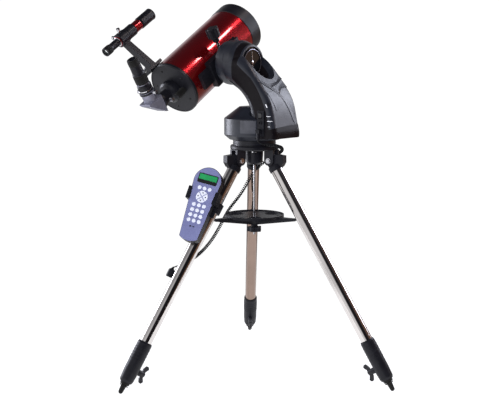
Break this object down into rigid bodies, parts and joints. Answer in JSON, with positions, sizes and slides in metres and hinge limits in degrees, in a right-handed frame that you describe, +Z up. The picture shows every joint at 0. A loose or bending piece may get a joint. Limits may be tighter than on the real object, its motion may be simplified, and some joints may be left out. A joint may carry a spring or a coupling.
{
  "type": "single-arm altazimuth telescope mount",
  "caption": "Computerised single-arm altazimuth mount on a folding steel tripod, carrying a short catadioptric tube, finder, diagonal and hand controller.",
  "frame": {"origin": "on the floor, under the azimuth axis", "axes": "+Z up along the azimuth axis, +X along the altitude axis towards the arm's outer side, +Y the level heading the tube points to"},
  "size_m": [0.7362, 0.6889, 0.9887],
  "materials": {
    "black_plastic": "satin moulded black with a faint grain",
    "gloss_black": "glossy black",
    "steel": "polished stainless steel",
    "bright_metal": "bright turned metal",
    "red_lacquer": "glossy metallic deep red",
    "black_metal": "satin black coated metal",
    "rubber": "matt black rubber",
    "glass": "coated glass",
    "mirror": "aluminised first-surface mirror",
    "brass": "turned brass",
    "handset_blue": "satin blue-grey",
    "key_white": "milky white keys",
    "board": "green circuit board",
    "cord": "black flexible jacket"
  },
  "bodies": {
    "tripod": {"hub": "black_metal", "hub_bolts": "bright_metal", "centre_rod": "bright_metal", "base_plate": "black_metal", "azimuth_gear": "brass", "cord_lead": "cord", "cord_curly": "cord", "cord_tail": "cord", "cord_plug": "black_plastic"},
    "tray": {"tray": "black_plastic"},
    "tray_knob": {"tray_knob": "black_plastic"},
    "leg_1": {"leg_1_head": "black_plastic", "leg_1_tube": "steel", "leg_1_clamp": "black_plastic"},
    "leg_1_screw": {"leg_1_screw": "black_metal"},
    "leg_1_inner": {"leg_1_inner": "steel", "leg_1_foot": "rubber"},
    "leg_2": {"leg_2_head": "black_plastic", "leg_2_tube": "steel", "leg_2_clamp": "black_plastic", "handset_holder": "black_plastic"},
    "leg_2_screw": {"leg_2_screw": "black_metal"},
    "leg_2_inner": {"leg_2_inner": "steel", "leg_2_foot": "rubber"},
    "leg_3": {"leg_3_head": "black_plastic", "leg_3_tube": "steel", "leg_3_clamp": "black_plastic"},
    "leg_3_screw": {"leg_3_screw": "black_metal"},
    "leg_3_inner": {"leg_3_inner": "steel", "leg_3_foot": "rubber"},
    "handset": {"handset_body": "handset_blue", "handset_keypad": "key_white"},
    "azimuth": {"base_drum": "black_plastic", "arm_inner": "black_plastic", "arm_shell": "black_plastic", "arm_cover": "black_plastic", "head_disc": "gloss_black", "port_panel": "black_plastic", "drive_motors": "black_metal", "circuit_board": "board", "cord_port_plug": "black_plastic"},
    "azimuth_pinion": {"azimuth_pinion": "brass"},
    "altitude_pinion": {"altitude_pinion": "brass"},
    "power_switch": {"power_switch": "gloss_black"},
    "altitude": {"altitude_gear": "bright_metal", "saddle": "black_metal"},
    "saddle_knob": {"saddle_knob": "black_plastic"},
    "tube": {"dovetail_bar": "black_metal", "ota_tube": "red_lacquer", "front_cell": "black_metal", "corrector": "glass", "rear_cell": "black_metal", "visual_back": "black_metal", "finder_bracket": "black_metal", "finder_tube": "black_metal", "finder_screws": "bright_metal"},
    "mirror": {"primary_mirror": "mirror"},
    "focus": {"focus_knob": "rubber"},
    "diagonal": {"star_diagonal": "black_plastic"},
    "eyepiece": {"eyepiece": "black_metal"}
  },
  "joints": [
    {"name": "leg_1_fold", "type": "hinge", "parent": "tripod", "child": "leg_1", "pos_m": [-0.0333, 0.03872, 0.573], "axis": [0.7581, 0.6521, 0], "range_deg": [-21, 0]},
    {"name": "leg_1_extend", "type": "slide", "parent": "leg_1", "child": "leg_1_inner", "axis": [-0.3402, 0.3955, -0.8532], "range_m": [0, 0.33]},
    {"name": "leg_1_screw_turn", "type": "hinge", "parent": "leg_1", "child": "leg_1_screw", "pos_m": [-0.22193, 0.25802, 0.04237], "axis": [0.5564, -0.6468, -0.5216], "range_deg": [-180, 180]},
    {"name": "leg_2_fold", "type": "hinge", "parent": "tripod", "child": "leg_2", "pos_m": [-0.01688, -0.0482, 0.573], "axis": [-0.9438, 0.3305, 0], "range_deg": [-21, 0]},
    {"name": "leg_2_extend", "type": "slide", "parent": "leg_2", "child": "leg_2_inner", "axis": [-0.1724, -0.4923, -0.8532], "range_m": [0, 0.33]},
    {"name": "leg_2_screw_turn", "type": "hinge", "parent": "leg_2", "child": "leg_2_screw", "pos_m": [-0.11249, -0.32121, 0.04237], "axis": [0.282, 0.8052, -0.5216], "range_deg": [-180, 180]},
    {"name": "leg_3_fold", "type": "hinge", "parent": "tripod", "child": "leg_3", "pos_m": [0.05018, 0.00948, 0.573], "axis": [0.1857, -0.9826, 0], "range_deg": [-21, 0]},
    {"name": "leg_3_extend", "type": "slide", "parent": "leg_3", "child": "leg_3_inner", "axis": [0.5126, 0.0968, -0.8532], "range_m": [0, 0.33]},
    {"name": "leg_3_screw_turn", "type": "hinge", "parent": "leg_3", "child": "leg_3_screw", "pos_m": [0.33442, 0.06319, 0.04237], "axis": [-0.8383, -0.1584, -0.5216], "range_deg": [-180, 180]},
    {"name": "tray_slide", "type": "slide", "parent": "tripod", "child": "tray", "axis": [0, 0, 1], "range_m": [-0.395, 0]},
    {"name": "tray_knob_turn", "type": "hinge", "parent": "tray", "child": "tray_knob", "pos_m": [0, 0, 0.39], "axis": [0, 0, 1], "range_deg": [-180, 180]},
    {"name": "azimuth_turn", "type": "hinge", "parent": "tripod", "child": "azimuth", "pos_m": [0, 0, 0.627], "axis": [0, 0, 1], "continuous": true},
    {"name": "azimuth_pinion_turn", "type": "hinge", "parent": "azimuth", "child": "azimuth_pinion", "pos_m": [-0.03769, -0.03769, 0.65], "axis": [0, 0, 1], "continuous": true},
    {"name": "altitude_tilt", "type": "hinge", "parent": "azimuth", "child": "altitude", "pos_m": [-0.094, 0.005, 0.8266], "axis": [1, 0, 0], "range_deg": [-36.6, 58.4]},
    {"name": "altitude_pinion_turn", "type": "hinge", "parent": "azimuth", "child": "altitude_pinion", "pos_m": [-0.075, 0.02665, 0.7891], "axis": [1, 0, 0], "range_deg": [-305, 195]},
    {"name": "power_switch_rock", "type": "hinge", "parent": "azimuth", "child": "power_switch", "pos_m": [0.066, -0.056, 0.693], "axis": [1, 0, 0], "range_deg": [-7, 7]},
    {"name": "saddle_knob_turn", "type": "hinge", "parent": "altitude", "child": "saddle_knob", "pos_m": [-0.1105, -0.02204, 0.88041], "axis": [0, -0.5244, 0.8515], "range_deg": [-180, 180]},
    {"name": "tube_slide", "type": "slide", "parent": "altitude", "child": "tube", "axis": [0, 0.8515, 0.5244], "range_m": [-0.03, 0.03]},
    {"name": "focus_turn", "type": "hinge", "parent": "tube", "child": "focus", "pos_m": [-0.15, -0.11659, 0.75171], "axis": [0, -0.8515, -0.5244], "range_deg": [-720, 720]},
    {"name": "mirror_focus", "type": "slide", "parent": "tube", "child": "mirror", "axis": [0, 0.8515, 0.5244], "range_m": [-0.0015, 0.0015]},
    {"name": "diagonal_turn", "type": "hinge", "parent": "tube", "child": "diagonal", "pos_m": [-0.19, -0.16086, 0.72444], "axis": [0, -0.8515, -0.5244], "range_deg": [-90, 90]},
    {"name": "eyepiece_pull", "type": "slide", "parent": "diagonal", "child": "eyepiece", "axis": [0, -0.5244, 0.8515], "range_m": [0, 0.026]},
    {"name": "handset_lift", "type": "slide", "parent": "leg_2", "child": "handset", "axis": [0.0376, 0.4463, 0.8941], "range_m": [0, 0.03]}
  ],
  "couplings": [
    {"joint": "leg_2_fold", "follows": "leg_1_fold", "ratio": 1},
    {"joint": "leg_3_fold", "follows": "leg_1_fold", "ratio": 1},
    {"joint": "tray_slide", "follows": "leg_1_fold", "m_per_rad": 1.07},
    {"joint": "azimuth_pinion_turn", "follows": "azimuth_turn", "ratio": 6.5714},
    {"joint": "altitude_pinion_turn", "follows": "altitude_tilt", "ratio": -5.1429},
    {"joint": "focus_turn", "follows": "mirror_focus", "rad_per_m": 8333.3}
  ]
}
